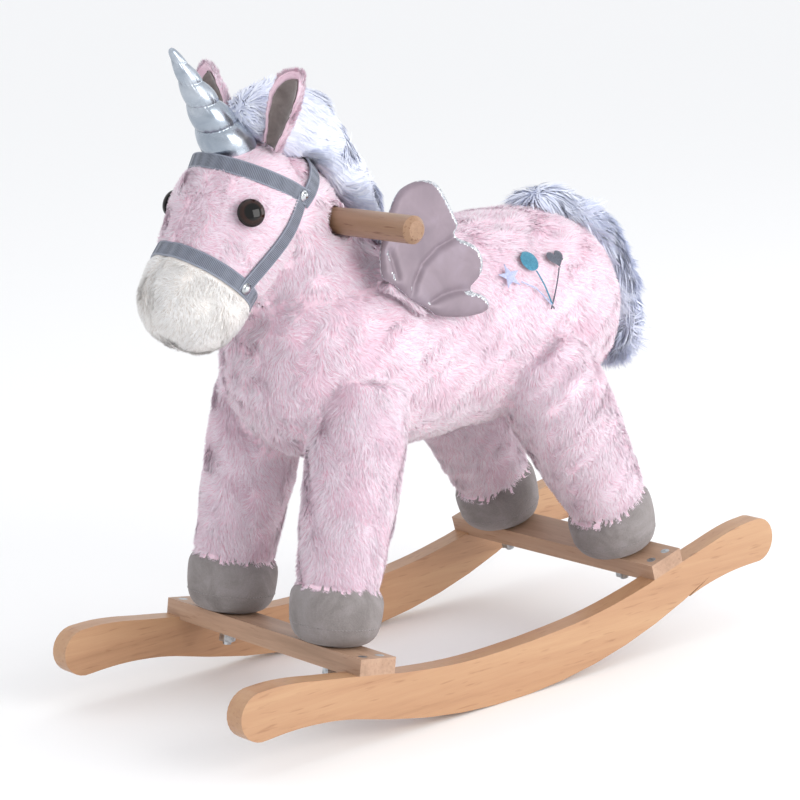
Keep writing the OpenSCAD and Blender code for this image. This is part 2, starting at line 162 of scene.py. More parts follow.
def noise(tree, vector, scale, detail=3.0, rough=0.5, twist=0.0):
    n = node(tree, "ShaderNodeTexNoise", None, Vector=vector, Scale=scale, Detail=detail,
             Roughness=rough, Distortion=twist)
    return n.outputs["Fac"]


def math_node(tree, operation, a, b=0.0):
    n = node(tree, "ShaderNodeMath", {"operation": operation}, _0=a, _1=b)
    return n.outputs["Value"]


def bump(tree, b, height, strength, distance):
    n = node(tree, "ShaderNodeBump", None, Strength=strength, Distance=distance, Height=height)
    tree.links.new(n.outputs["Normal"], b.inputs["Normal"])


def wood(name, light, mid, dark, scale, axis, fleck=0.4, rough=0.42):
    """Wood with long grain along one axis, faint growth bands and short flecks."""
    m, t, b = shader(name, mid, rough, coat=0.12)
    b.inputs["Coat Roughness"].default_value = 0.3
    along = stretched(t, [scale * (0.05 if k == axis else 1) for k in range(3)])
    broad = noise(t, along, 0.35, 4, 0.55, 0.6)
    fine = noise(t, along, 3.2, 6, 0.62, 0.2)
    dash = noise(t, stretched(t, [scale * (0.3 if k == axis else 3) for k in range(3)]), 1.3, 2, 0.4)
    tone = blend(t, broad, 0.65, fine, 0.35)
    colour = ramp(t, tone, [(0.3, dark), (0.48, mid), (0.68, light)])
    marks = ramp(t, dash, [(0.0, "000000"), (0.62, "000000"), (0.74, "ffffff")])
    mixed = node(t, "ShaderNodeMix", {"data_type": "RGBA", "blend_type": "MULTIPLY"})
    t.links.new(math_node(t, "MULTIPLY", marks, fleck), mixed.inputs[0])
    t.links.new(colour, mixed.inputs[6])
    mixed.inputs[7].default_value = rgb("b08a6c")
    t.links.new(mixed.outputs[2], b.inputs["Base Color"])
    gloss(t, b, fine, 0.18, rough - 0.09)
    bump(t, b, math_node(t, "ADD", fine, math_node(t, "MULTIPLY", dash, 0.4)), 0.25, 0.0006)
    return m


def steel(name, plate="c4c8cc", rough=0.32):
    """Plated steel with fine turning marks and a little tarnish."""
    m, t, b = shader(name, plate, rough, 1.0)
    spot = noise(t, stretched(t), 260, 3, 0.6)
    tint(t, b, spot, [(0.3, "8b8f93"), (0.6, plate)])
    gloss(t, b, spot, 0.25, rough - 0.1)
    return m


def backing(name, light, dark, scale=90):
    """The knitted ground cloth under a pile."""
    m, t, b = shader(name, light, 0.95, sheen=0.3)
    patch = noise(t, stretched(t), scale, 5, 0.6, 0.8)
    tint(t, b, patch, [(0.3, dark), (0.7, light)])
    bump(t, b, patch, 0.6, 0.002)
    return m


def suede(name):
    """Brushed suede cloth with a mottled nap."""
    m, t, b = shader(name, "847e7e", 0.92, sheen=0.3)
    b.inputs["Sheen Tint"].default_value = rgb("d8d4d6")
    where = stretched(t)
    patch = noise(t, where, 28, 5, 0.62, 1.2)
    nap = noise(t, where, 900, 2, 0.7)
    tone = blend(t, patch, 0.75, nap, 0.25)
    tint(t, b, tone, [(0.28, "67615f"), (0.5, "827c7b"), (0.72, "979192")])
    bump(t, b, math_node(t, "ADD", nap, patch), 0.35, 0.0007)
    return m


def velour(name, light, dark):
    m, t, b = shader(name, light, 0.85, sheen=0.5)
    patch = noise(t, stretched(t), 60, 4, 0.6, 1.0)
    nap = noise(t, stretched(t), 1100, 2, 0.6)
    tint(t, b, patch, [(0.3, dark), (0.65, light)])
    bump(t, b, nap, 0.4, 0.0005)
    return m


def satin(name):
    """Dusty pink satin with soft crush marks."""
    m, t, b = shader(name, "94868f", 0.42, 0.2, sheen=0.12)
    b.inputs["Sheen Tint"].default_value = rgb("e6d8e2")
    crush = noise(t, stretched(t), 34, 3, 0.5, 0.6)
    weave = noise(t, stretched(t), 1400, 2, 0.5)
    tint(t, b, crush, [(0.25, "786b75"), (0.5, "83757f"), (0.8, "918490")])
    gloss(t, b, crush, 0.16, 0.36)
    bump(t, b, math_node(t, "ADD", crush, math_node(t, "MULTIPLY", weave, 0.2)), 0.22, 0.001)
    return m


def glitter(name):
    """Silver cloth covered in fine glitter flakes."""
    m, t, b = shader(name, "c9cdd2", 0.35, 0.75)
    flake = node(t, "ShaderNodeTexVoronoi", None, Vector=stretched(t), Scale=900)
    tint(t, b, flake.outputs["Color"], [(0.2, "9398a0"), (0.55, "c9cdd4"), (0.85, "ffffff")])
    gloss(t, b, flake.outputs["Distance"], 0.5, 0.12)
    bump(t, b, flake.outputs["Color"], 0.8, 0.0008)
    return m


def foil(name):
    """Silver foil cloth, crumpled and faintly mottled."""
    m, t, b = shader(name, "c6cdd6", 0.3, 0.92)
    where = stretched(t)
    crease = noise(t, where, 48, 3, 0.5, 0.8)
    grain = noise(t, where, 900, 2, 0.6)
    tint(t, b, crease, [(0.3, "96a0ac"), (0.6, "b2bac4"), (0.8, "cbd1d8")])
    gloss(t, b, crease, 0.2, 0.17)
    bump(t, b, math_node(t, "ADD", crease, math_node(t, "MULTIPLY", grain, 0.08)), 0.22, 0.0016)
    return m


def webbing(name):
    """Blue-grey grosgrain webbing along the ribbon's own UVs: crosswise ribs with painted shade in the
    grooves between them, and a smooth selvedge.
    """
    m, t, b = shader(name, "8b93a8", 0.55, sheen=0.3)
    uv = node(t, "ShaderNodeUVMap")
    uv.uv_map = "ribbon"
    split = node(t, "ShaderNodeSeparateXYZ", None, Vector=uv.outputs["UV"])
    along, across = split.outputs["X"], split.outputs["Y"]
    rib = math_node(t, "SINE", math_node(t, "MULTIPLY", along, 2 * math.pi * 700))
    rib = math_node(t, "ADD", math_node(t, "MULTIPLY", rib, 0.5), 0.5)
    edge = math_node(t, "ABSOLUTE", math_node(t, "SUBTRACT", across, 0.5))
    border = math_node(t, "GREATER_THAN", edge, 0.41)
    flat = math_node(t, "MAXIMUM", rib, border)
    wear = noise(t, stretched(t), 160, 3, 0.6)
    # Painted shade: the grooves between the ribs are coloured darker than the rib tops and the selvedge.
    tone = blend(t, flat, 0.7, wear, 0.3)
    tint(t, b, tone, [(0.1, "444a58"), (0.55, "656b79"), (0.95, "868c9b")])
    bump(t, b, flat, 0.5, 0.0005)
    return m


def eye_material(name, apex):
    """Glossy safety eye: black pupil in a very dark brown ring."""
    m, t, b = shader(name, "050404", 0.05)
    b.inputs["Specular IOR Level"].default_value = 0.32
    where = node(t, "ShaderNodeTexCoord").outputs["Object"]
    away = node(t, "ShaderNodeVectorMath", {"operation": "DISTANCE"}, _0=where, _1=tuple(apex))
    ring = math_node(t, "MULTIPLY", away.outputs["Value"], 60)
    tint(t, b, ring, [(0.40, "030303"), (0.50, "2c1712"), (0.66, "24120e"), (0.74, "060404")])
    return m


# ---------- meshes ----------


def new_object(name, verts, faces, smooth=True):
    me = bpy.data.meshes.new(name)
    me.from_pydata([tuple(v) for v in verts], [], [tuple(f) for f in faces])
    me.validate()
    me.update()
    if smooth:
        me.shade_smooth()
    ob = bpy.data.objects.new(name, me)
    bpy.context.scene.collection.objects.link(ob)
    return ob


def arrays(ob):
    """World vertices, triangles and vertex normals of an object that sits at the origin."""
    me = ob.data
    v = np.empty(len(me.vertices) * 3)
    me.vertices.foreach_get("co", v)
    me.calc_loop_triangles()
    t = np.empty(len(me.loop_triangles) * 3, int)
    me.loop_triangles.foreach_get("vertices", t)
    v, t = v.reshape(-1, 3), t.reshape(-1, 3)
    return v, t, vertex_normals(v, t)


def vertex_normals(v, t):
    n = np.zeros_like(v)
    face = np.cross(v[t[:, 1]] - v[t[:, 0]], v[t[:, 2]] - v[t[:, 0]])
    for k in range(3):
        np.add.at(n, t[:, k], face)
    return unit(n)


def set_points(ob, v):
    ob.data.vertices.foreach_set("co", np.asarray(v, np.float32).ravel())
    ob.data.update()


def joined(name, nodes):
    """One new object with the meshes of several CAD nodes."""
    bm = bmesh.new()
    for n in nodes:
        bm.from_mesh(NODES[n].data)
    me = bpy.data.meshes.new(name)
    bm.to_mesh(me)
    bm.free()
    ob = bpy.data.objects.new(name, me)
    bpy.context.scene.collection.objects.link(ob)
    return ob


def apply_all(ob):
    """Replaces an object's mesh with what its modifiers make of it."""
    made = bpy.data.meshes.new_from_object(ob.evaluated_get(bpy.context.evaluated_depsgraph_get()))
    old = ob.data
    ob.modifiers.clear()
    ob.data = made
    bpy.data.meshes.remove(old)


def keep_largest(ob):
    bm = bmesh.new()
    bm.from_mesh(ob.data)
    seen, best = set(), []
    for start in bm.verts:
        if start in seen:
            continue
        seen.add(start)
        island, todo = [], [start]
        while todo:
            v = todo.pop()
            island.append(v)
            for e in v.link_edges:
                o = e.other_vert(v)
                if o not in seen:
                    seen.add(o)
                    todo.append(o)
        best = max(best, island, key=len)
    kept = set(best)
    bmesh.ops.delete(bm, geom=[v for v in bm.verts if v not in kept], context="VERTS")
    bm.to_mesh(ob.data)
    bm.free()


def voxels(ob, size):
    mod = ob.modifiers.new("voxels", "REMESH")
    mod.mode, mod.voxel_size, mod.use_smooth_shade = "VOXEL", size, True
    apply_all(ob)
    keep_largest(ob)


def edge_pairs(ob):
    e = np.empty(len(ob.data.edges) * 2, int)
    ob.data.edges.foreach_get("vertices", e)
    return e.reshape(-1, 2)


def spread(values, edges, rounds, share=0.5):
    """Averages a value per vertex with its neighbours."""
    values = np.array(values, float)
    count = np.bincount(edges.ravel(), minlength=len(values)).astype(float)
    for _ in range(rounds):
        total = np.zeros_like(values)
        np.add.at(total, edges[:, 0], values[edges[:, 1]])
        np.add.at(total, edges[:, 1], values[edges[:, 0]])
        mean = total / np.maximum(count, 1).reshape((-1,) + (1,) * (values.ndim - 1))
        values = values * (1 - share) + mean * share
    return values


def inflate(ob, pinned, pressure, cap, frames=20):
    """Blows a closed cloth form up with its pinned points held, no point moving further than cap."""
    before = arrays(ob)[0]
    group = ob.vertex_groups.new(name="pin")
    group.add([int(i) for i in np.nonzero(pinned)[0]], 1.0, "ADD")
    mod = ob.modifiers.new("cloth", "CLOTH")
    s = mod.settings
    s.quality, s.mass, s.use_pressure, s.uniform_pressure_force = 4, 0.3, True, pressure
    s.effector_weights.gravity = 0
    s.vertex_group_mass = "pin"
    s.tension_stiffness = s.compression_stiffness = 18
    s.bending_stiffness = 0.6
    mod.collision_settings.use_collision = False
    mod.point_cache.frame_start, mod.point_cache.frame_end = 1, frames
    for f in range(1, frames + 1):
        bpy.context.scene.frame_set(f)
    apply_all(ob)
    bpy.context.scene.frame_set(1)
    after = arrays(ob)[0]
    move = after - before
    far = np.linalg.norm(move, axis=1, keepdims=True)
    set_points(ob, before + move * np.minimum(1, cap / np.maximum(far, 1e-9)))
    ob.vertex_groups.clear()


def tree_of(v, t):
    return BVHTree.FromPolygons([tuple(p) for p in v], [tuple(f) for f in t])


# ---------- fur ----------


def swirl(p, scale, seed):
    """A smooth random vector at each point, about one unit long."""
    rng = np.random.default_rng(seed)
    out = np.zeros_like(p)
    for _ in range(7):
        d = unit(rng.normal(size=3)) * (2 * math.pi / scale * rng.uniform(0.6, 1.5))
        out += np.sin(p @ d + rng.uniform(0, 6.28))[:, None] * rng.normal(size=3)
    return out / math.sqrt(7)


def scatter(v, t, n, weight, count, seed):
    """Evenly spread points on a triangle mesh, where the weight at the corners is above zero."""
    rng = np.random.default_rng(seed)
    size = np.linalg.norm(np.cross(v[t[:, 1]] - v[t[:, 0]], v[t[:, 2]] - v[t[:, 0]]), axis=1)
    size = size * (weight[t].mean(axis=1) > 0.15)
    total = np.cumsum(size)
    pick = np.searchsorted(total, (np.arange(count) + rng.random(count)) / count * total[-1])
    tri = t[np.minimum(pick, len(t) - 1)]
    r1, r2 = np.sqrt(rng.random(count)), rng.random(count)
    w = np.stack([1 - r1, r1 * (1 - r2), r1 * r2], axis=1)[:, :, None]
    return (v[tri] * w).sum(axis=1), unit((n[tri] * w).sum(axis=1)), (weight[tri] * w[:, :, 0]).sum(axis=1)


def grow(name, surface, count, length, width, comb, shades, lean=(67, 80), clump=0.25, clump_size=16,
         stir=0.7, stir_scale=0.03, steps=1, wave=0.0, clear=None, seed=1):
    """A pile of tapered strands on a surface. comb gives the way it is brushed. The first shade is a darker
    root colour, painted shade for the depth of the pile; the others are spread over the pile in soft
    patches. No strand crosses clear."""
    v, t, n, weight = surface
    rng = np.random.default_rng(seed)
    root, up, grown = scatter(v, t, n, weight, count, seed)
    way = comb(root) + stir * swirl(root, stir_scale, seed + 5) + rng.normal(scale=0.2, size=root.shape)
    flat = unit(way - (way * up).sum(axis=1, keepdims=True) * up)
    long = length * grown * rng.uniform(0.72, 1.12, count)
    lean_now = rng.uniform(lean[0], lean[1], count) + 7 * swirl(root, stir_scale * 0.7, seed + 9)[:, 0]
    lean_now = np.radians(np.clip(lean_now, lean[0] - 4, lean[1]))
    points = [root]
    for k in range(1, steps + 1):
        tilt = np.minimum(lean_now + math.radians(24) * (k - 1) / max(steps - 1, 1), math.radians(88))
        step = up * np.cos(tilt)[:, None] + flat * np.sin(tilt)[:, None]
        if wave:
            step = step + wave * swirl(points[-1], stir_scale * 0.6, seed + 20 + k)
        points.append(points[-1] + unit(step) * (long / steps)[:, None])
    if clump:
        points = gather(points, root, clump, count // clump_size, rng)
    if clear:
        kept, points = trimmed(points, up, clear)
        root, up, flat = root[kept], up[kept], flat[kept]
        count = len(root)
    side = unit(np.cross(flat, up) + 0.3 * rng.normal(size=up.shape))
    thick = width * rng.uniform(0.75, 1.25, count)[:, None] / 2
    foot = points[0] - up * 0.001
    rows = [foot - side * thick, foot + side * thick]
    for k in range(1, steps):
        taper = 1.05 - 0.45 * k / steps
        rows += [points[k] - side * thick * taper, points[k] + side * thick * taper]
    rows.append(points[-1])
    verts = np.stack(rows, axis=1)
    ob = strand_mesh(name, verts, steps)
    shade_strands(ob, root, shades, steps, stir_scale, seed)
    lie = unit(points[-1] - points[0])
    soft = unit(up + 0.14 * rng.normal(size=up.shape) + 0.22 * lie)
    normals = np.repeat(soft[:, None, :], verts.shape[1], axis=1).reshape(-1, 3)
    ob.data.normals_split_custom_set_from_vertices([tuple(x) for x in normals])
    return ob


def trimmed(points, up, clear):
    """Cuts each strand short of what it would run into, and drops those with no room."""
    start, way = points[0], points[-1] - points[0]
    far = np.linalg.norm(way, axis=1)
    scale = np.ones(len(start))
    for i in range(len(start)):
        hit = clear.ray_cast(Vector(start[i] - up[i] * 0.001), Vector(way[i]), far[i] * 1.15 + 0.001)[3]
        if hit is not None:
            scale[i] = max(hit - 0.001, 0) * 0.85 / far[i]
        elif clear.ray_cast(Vector(start[i] - up[i] * 0.001), Vector(up[i]), 0.007)[3] is not None:
            scale[i] = 0
    kept = scale > 0.22
    scale = np.minimum(scale, 1)[:, None]
    return kept, [(start + (p - start) * scale)[kept] for p in points]


def gather(points, root, clump, groups, rng):
    """Draws the tips of neighbouring strands together into locks."""
    lead = rng.choice(len(root), groups, replace=False)
    tree = KDTree(groups)
    for i, k in enumerate(lead):
        tree.insert(root[k], i)
    tree.balance()
    own = lead[np.array([tree.find(p)[1] for p in root])]
    last = len(points) - 1
    out = [points[0]]
    for k in range(1, last + 1):
        pull = clump * (k / last) ** 1.5
        out.append(points[k] * (1 - pull) + (points[k][own] * 0.85 + 0.15 * points[k]) * pull)
    return out


def strand_mesh(name, verts, steps):
    """Flat tapered strands: steps - 1 four-sided faces and a three-sided tip each."""
    count, per = verts.shape[:2]
    base = np.arange(count)[:, None] * per
    quads = [[2 * k, 2 * k + 1, 2 * k + 3, 2 * k + 2] for k in range(steps - 1)]
    tip = [2 * steps - 2, 2 * steps - 1, 2 * steps]
    loops = np.concatenate([base + np.array(q) for q in quads] + [base + np.array(tip)], axis=1)
    sizes = np.tile([4] * (steps - 1) + [3], count)
    me = bpy.data.meshes.new(name)
    me.vertices.add(count * per)
    me.vertices.foreach_set("co", verts.astype(np.float32).ravel())
    me.loops.add(loops.size)
    me.loops.foreach_set("vertex_index", loops.astype(np.int32).ravel())
    me.polygons.add(len(sizes))
    me.polygons.foreach_set("loop_start", np.concatenate([[0], np.cumsum(sizes)[:-1]]).astype(np.int32))
    me.update(calc_edges=True)
    me.shade_smooth()
    ob = bpy.data.objects.new(name, me)
    bpy.context.scene.collection.objects.link(ob)
    return ob


def shade_strands(ob, root, shades, steps, scale, seed):
    for s in shades:
        ob.data.materials.append(s)
    rng = np.random.default_rng(seed + 77)
    patch = 0.5 + 0.32 * swirl(root, scale * 1.6, seed + 40)[:, 1] + rng.normal(scale=0.2, size=len(root))
    pick = 1 + np.clip((patch * (len(shades) - 1)).astype(int), 0, len(shades) - 2)
    index = np.repeat(pick[:, None], steps, axis=1)
    # Slot 0, the darker root colour, is painted shade for the depth of the pile: on the lowest face of half
    # the long strands, and on a scattering of whole short strands.
    index[:, 0] = np.where(rng.random(len(root)) < (0.12 if steps == 1 else 0.5), 0, index[:, 0])
    ob.data.polygons.foreach_set("material_index", index.astype(np.int32).ravel())


def brushed(way):
    """A comb that gives the same world direction everywhere."""
    return lambda p: np.tile(np.array(way), (len(p), 1))


# ---------- the stuffed body ----------

SKINS = ["torso_skin", "neck_skin", "head_skin", "muzzle_skin", "leg_front_left", "leg_front_right",
         "leg_rear_left", "leg_rear_right", "hoof_front_left", "hoof_front_right", "hoof_rear_left",
         "hoof_rear_right"]
STUFFING = {"torso_skin": "torso_stuffing", "neck_skin": "neck_stuffing", "head_skin": "head_stuffing",
            "leg_front_left": "leg_stuffing_front_left", "leg_front_right": "leg_stuffing_front_right",
            "leg_rear_left": "leg_stuffing_rear_left", "leg_rear_right": "leg_stuffing_rear_right"}
INNER = ["spine_board", "beam_front", "beam_rear", "neck_board", "post_front_left", "post_front_right",
         "post_rear_left", "post_rear_right"]
PILE = {"hoof": 0.0, "muzzle": 0.0035, "head": 0.0048}


def middle(name):
    lo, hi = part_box(name)
    return (Vector(lo) + Vector(hi)) / 2


def strap_anchors():
    """Where the bridle presses on the plush: points round the nose ring and the brow ring."""
    out = []
    for turn in range(-180, 180, 4):
        a = math.radians(turn)
        out.append(head_point(49 * math.sin(a), 49 * math.cos(a), NOSE_RING))
        if abs(turn) < 108:
            brow = 58 * math.cos(a)
            out.append(head_point(58 * math.sin(a), brow, BROW_RING + 0.2 * brow))
    return out


def body_form():
    """One closed form of the whole stuffed body, a vertex region for each skin, and the seam points."""
    ob = joined("body_form", SKINS + list(STUFFING.values()) + INNER)
    voxels(ob, 0.004)
    edges = edge_pairs(ob)
    v, _, n = arrays(ob)
    skin_v, skin_t, owner = [], [], []
    for i, name in enumerate(SKINS):
        a, b, _ = arrays(NODES[name])
        skin_t.append(b + sum(len(x) for x in skin_v))
        skin_v.append(a)
        owner += [i] * len(b)
    near = tree_of(np.concatenate(skin_v), np.concatenate(skin_t))
    region = np.array([owner[near.find_nearest(Vector(p))[2]] for p in v])
    v = spread(v, edges, 7)
    seam = np.zeros(len(v))
    cross = region[edges[:, 0]] != region[edges[:, 1]]
    seam[edges[cross].ravel()] = 1
    depth = np.array([PILE.get(SKINS[r].split("_")[0], 0.006) for r in region])
    v = v - n * spread(depth, edges, 3)[:, None]
    valley = spread(seam, edges, 3)
    v = v - n * (0.0035 * valley)[:, None]
    nose = np.array([SKINS[r] == "muzzle_skin" for r in region])
    v = v - n * (0.0035 * nose * np.exp(-(v[:, 0] / 0.0035) ** 2))[:, None]
    set_points(ob, v)
    return ob, region, seam, edges


def region_tree(names):
    """A search tree of some of the sewn regions alone."""
    v, t, _, region = body_arrays
    kept = np.isin(region, [SKINS.index(name) for name in names])
    return tree_of(v, t[kept[t].all(axis=1)])


def close_to(v, points, radius):
    """True for each vertex within radius of any of some points."""
    out = np.zeros(len(v), bool)
    for p in points:
        out |= np.linalg.norm(v - np.array(p), axis=1) < radius
    return out


def split_region(form, region, wanted, name):
    """The faces of the form that lie in one region, as their own object."""
    me = form.data
    faces = [tuple(p.vertices) for p in me.polygons]
    first = region[np.array([f[0] for f in faces])]
    kept = [f for f, r in zip(faces, first) if r == wanted]
    used = sorted({i for f in kept for i in f})
    index = {old: new for new, old in enumerate(used)}
    return new_object(name, [me.vertices[i].co for i in used], [[index[i] for i in f] for f in kept]), used


def soft_body():
    form, region, seam, edges = body_form()
    v = arrays(form)[0]
    foot = v[:, 2] < 0.075
    eyes = [middle("eye_left"), middle("eye_right")]
    nose_seam = np.array([SKINS[r] == "muzzle_skin" for r in region]) & (np.abs(v[:, 0]) < 0.003)
    pinned = (seam > 0) | foot | nose_seam | close_to(v, eyes, 0.016) | close_to(v, strap_anchors(), 0.007)
    inflate(form, pinned, 4.0, 0.005)
    v, t, n = arrays(form)
    skins = {}
    for i, skin in enumerate(SKINS):
        ob, used = split_region(form, region, i, skin + "_cloth")
        surface_n = n[used]
        skins[skin] = (ob, surface_n, spread(seam, edges, 3)[used])
    whole = tree_of(v, t)
    bpy.data.objects.remove(form)
    return skins, whole, (v, t, n, region)


# ---------- bridle ----------

BAND = 0.0135
RIB_RISE = 0.00022
BROW_RING, NOSE_RING = -28.9, 64
BROW_RIVET, NOSE_RIVET = 105, 101
BROW_TILT = math.radians(11.3)


def wrap_point(tree, centre, way, lift):
    """Where a ray from far outside, aimed at centre against way, meets the plush, lifted off it a little."""
    way = Vector(way).normalized()
    hit = tree.ray_cast(centre + way * 0.3, -way)[0]
    return (hit if hit is not None else centre + way * 0.05) + way * lift


def ribbon(name, rows, width, thick, material):
    """A woven strap through rows of [centre point, outward, across], with real crosswise ribs."""
    centre = np.array([r[0] for r in rows])
    out = unit(np.array([r[1] for r in rows]))
    across = unit(np.array([r[2] for r in rows]))
    step = np.linalg.norm(np.diff(centre, axis=0), axis=1)
    run = np.concatenate([[0], np.cumsum(step)])
    count = max(8, int(run[-1] / 0.0008))
    at = np.linspace(0, run[-1], count)
    fine = [np.stack([np.interp(at, run, a[:, k]) for k in range(3)], axis=1) for a in (centre, out, across)]
    c, o, a = fine[0], unit(fine[1]), unit(fine[2])
    rib = np.where(np.arange(count) % 2 == 0, RIB_RISE, 0.0)
    shape = [(-0.5, -thick), (-0.5, 0), (-0.44, RIB_RISE), (-0.4, 0),
             (0.4, 0), (0.44, RIB_RISE), (0.5, 0), (0.5, -thick)]
    verts, uvs = [], []
    for i in range(count):
        for across_at, height in shape:
            ribbed = rib[i] if abs(across_at) <= 0.4 and height == 0 else 0.0
            verts.append(c[i] + a[i] * across_at * width + o[i] * (height + ribbed))
            uvs.append((at[i], across_at + 0.5))
    m = len(shape)
    faces = [(i * m + k, i * m + (k + 1) % m, (i + 1) * m + (k + 1) % m, (i + 1) * m + k)
             for i in range(count - 1) for k in range(m)]
    faces += [tuple(range(m)), tuple(range((count - 1) * m, count * m))[::-1]]
    ob = new_object(name, verts, faces, smooth=False)
    layer = ob.data.uv_layers.new(name="ribbon")
    for loop in ob.data.loops:
        layer.data[loop.index].uv = uvs[loop.vertex_index]
    ob.data.materials.append(material)
    return ob


def smoothed(rows, rounds=5):
    p = np.array([r[0] for r in rows])
    for _ in range(rounds):
        p[1:-1] = 0.5 * p[1:-1] + 0.25 * (p[:-2] + p[2:])
    return [(q, r[1], r[2]) for q, r in zip(p, rows)]


def ring_rows(tree, centre, start, axis, turns, lift):
    """Rows of a strap that circles centre in the plane across axis."""
    rows = []
    for turn in turns:
        way = Matrix.Rotation(math.radians(turn), 3, axis) @ start
        rows.append((wrap_point(tree, centre, way, lift), way, axis))
    return smoothed(rows)


def head_way(side, brow, along):
    p = HEAD_BROW * brow + HEAD_AXIS * along
    return heading(side, p[1], p[2])


def bridle(tree):
    """The five straps, on the same planes as their CAD solids, laid over the stuffed head."""
    tape = webbing("bridle_webbing")
    brow_axis = head_way(0, -math.sin(BROW_TILT), math.cos(BROW_TILT))
    brow_start = head_way(0, math.cos(BROW_TILT), math.sin(BROW_TILT))
    brow_at, nose_at = head_point(0, 0, BROW_RING), head_point(0, 0, NOSE_RING)
    nose_start, nose_axis = head_way(0, 1, 0), head_way(0, 0, 1)
    straps = {
        "browband": ring_rows(tree, brow_at, brow_start, brow_axis, range(-109, 110, 3), 0.0042),
        "noseband": ring_rows(tree, nose_at, nose_start, nose_axis, range(-106, 107, 3), 0.0042),
        "chin_strap": ring_rows(tree, nose_at, nose_start, nose_axis, range(98, 263, 3), 0.003),
        "crown_strap": ring_rows(tree, place(0, -143, 466), heading(0, 0.789, 0.614),
                                 heading(0, -0.614, 0.789), range(-97, 98, 3), 0.003)}
    for side, name in ((1, "cheek_strap_left"), (-1, "cheek_strap_right")):
        rows = []
        for k in range(25):
            s = k / 24
            turn = math.radians(side * (106 - 5 * s))
            way = head_way(math.sin(turn), math.cos(turn), 0)
            rows.append((wrap_point(tree, head_point(0, 0, -37 + 106 * s), way, 0.003), way,
                         head_way(math.cos(turn), -math.sin(turn), 0)))
        straps[name] = smoothed(rows)
    made = []
    for name, rows in straps.items():
        strap = ribbon(name + "_tape", rows, BAND, 0.0016, tape)
        fitted(strap, replaced=[name])
        made.append(strap)
    return made + rivet_caps(tree, brow_start, brow_axis)


def rivet_caps(tree, brow_start, brow_axis):
    """A domed cap with a flat rim on each strap crossing."""
    nickel = steel("rivet_nickel", "cfd2d6", 0.18)
    profile = [(0.0, 0.0031), (0.0016, 0.0029), (0.0029, 0.0022), (0.0036, 0.0012), (0.0039, 0.0009),
               (0.005, 0.0007), (0.0052, 0.0), (0.0052, -0.001)]
    rings, faces, verts = 28, [], []
    spots = []
    for side in (1, -1):
        way = Matrix.Rotation(math.radians(side * BROW_RIVET), 3, brow_axis) @ brow_start
        spots.append((wrap_point(tree, head_point(0, 0, BROW_RING), way, 0.0046), way))
        turn = math.radians(side * NOSE_RIVET)
        way = head_way(math.sin(turn), math.cos(turn), 0)
        spots.append((wrap_point(tree, head_point(0, 0, NOSE_RING), way, 0.0046), way))
    for at, way in spots:
        turn = way.to_track_quat("Z", "Y").to_matrix()
        base = len(verts)
        for r, z in profile:
            for k in range(rings):
                a = 2 * math.pi * k / rings
                verts.append(at + turn @ Vector((r * math.cos(a), r * math.sin(a), z)))
        for j in range(len(profile) - 1):
            for k in range(rings):
                k2 = (k + 1) % rings
                faces.append((base + j * rings + k, base + (j + 1) * rings + k,
                              base + (j + 1) * rings + k2, base + j * rings + k2))
    caps = new_object("rivet_caps", verts, faces)
    caps.data.materials.append(nickel)
    fitted(caps, replaced=["rivets"])
    return [caps]


# ---------- horn ----------


def horn():
    """A stuffed foil horn, drawn in by a thread that winds round it."""
    length, turns, rings = 99.0, 140, 96
    verts, faces = [], []
    lay = (REST @ Matrix.Translation(Vector((0, -185.6, 515.4)) / 1000)
           @ Matrix.Rotation(math.radians(29), 4, "X"))
    for j in range(turns + 1):
        z = -12 + (length + 12) * j / turns
        cone = 20.5 * (1 - max(z, 0) / length) ** 0.92 + 2.6
        for k in range(rings):
            a = 2 * math.pi * k / rings
            wound = (max(z, 0) / 27.5) * (1 + 0.25 * z / length) + a / (2 * math.pi) + 0.35
            pillow = abs(math.sin(math.pi * wound)) ** 0.5
            pleat = (1 - pillow) * 0.45 * math.sin(a * 27 + 3 * math.sin(a * 4))
            pleat += 0.12 * math.sin(a * 5 + z * 0.3)
            tip = math.sqrt(max(0.0, 1 - max(0.0, 1 - (length - z) / 3.5) ** 2))
            r = (cone * (0.80 + 0.20 * pillow) + pleat * min(1, cone / 10)) * max(tip, 0.02)
            verts.append(lay @ Vector((r * math.cos(a) / 1000, r * math.sin(a) / 1000, z / 1000)))
    for j in range(turns):
        for k in range(rings):
            k2 = (k + 1) % rings
            faces.append((j * rings + k, j * rings + k2, (j + 1) * rings + k2, (j + 1) * rings + k))
    faces += [tuple(range(rings))[::-1], tuple(range(turns * rings, (turns + 1) * rings))]
    ob = new_object("horn_foil", verts, faces)
    ob.data.materials.append(foil("horn_silver"))
    fitted(ob, replaced=["horn"])
    return ob


# ---------- ears ----------

EAR_UP = [-4, 6, 16, 28, 40, 50, 58, 64, 68, 70]
EAR_HALF = [11, 14, 17.5, 20.5, 21.8, 20.6, 17, 12, 6.5, 1.5]
EARS = {1: (10, 30, -22), -1: (0, 20, 24)}


def ear_lay(side):
    """The frame of an ear, in mm: z up the ear from its seam, +Y to the back."""
    back, splay, twist = EARS[side]
    turn = Matrix.Rotation(math.radians(side * splay), 4, "Y") @ Matrix.Rotation(math.radians(-back), 4, "X")
    return (REST @ Matrix.Translation(Vector((side * 29, -157, 513)) / 1000) @ turn
            @ Matrix.Rotation(math.radians(side * 20 + twist), 4, "Z"))


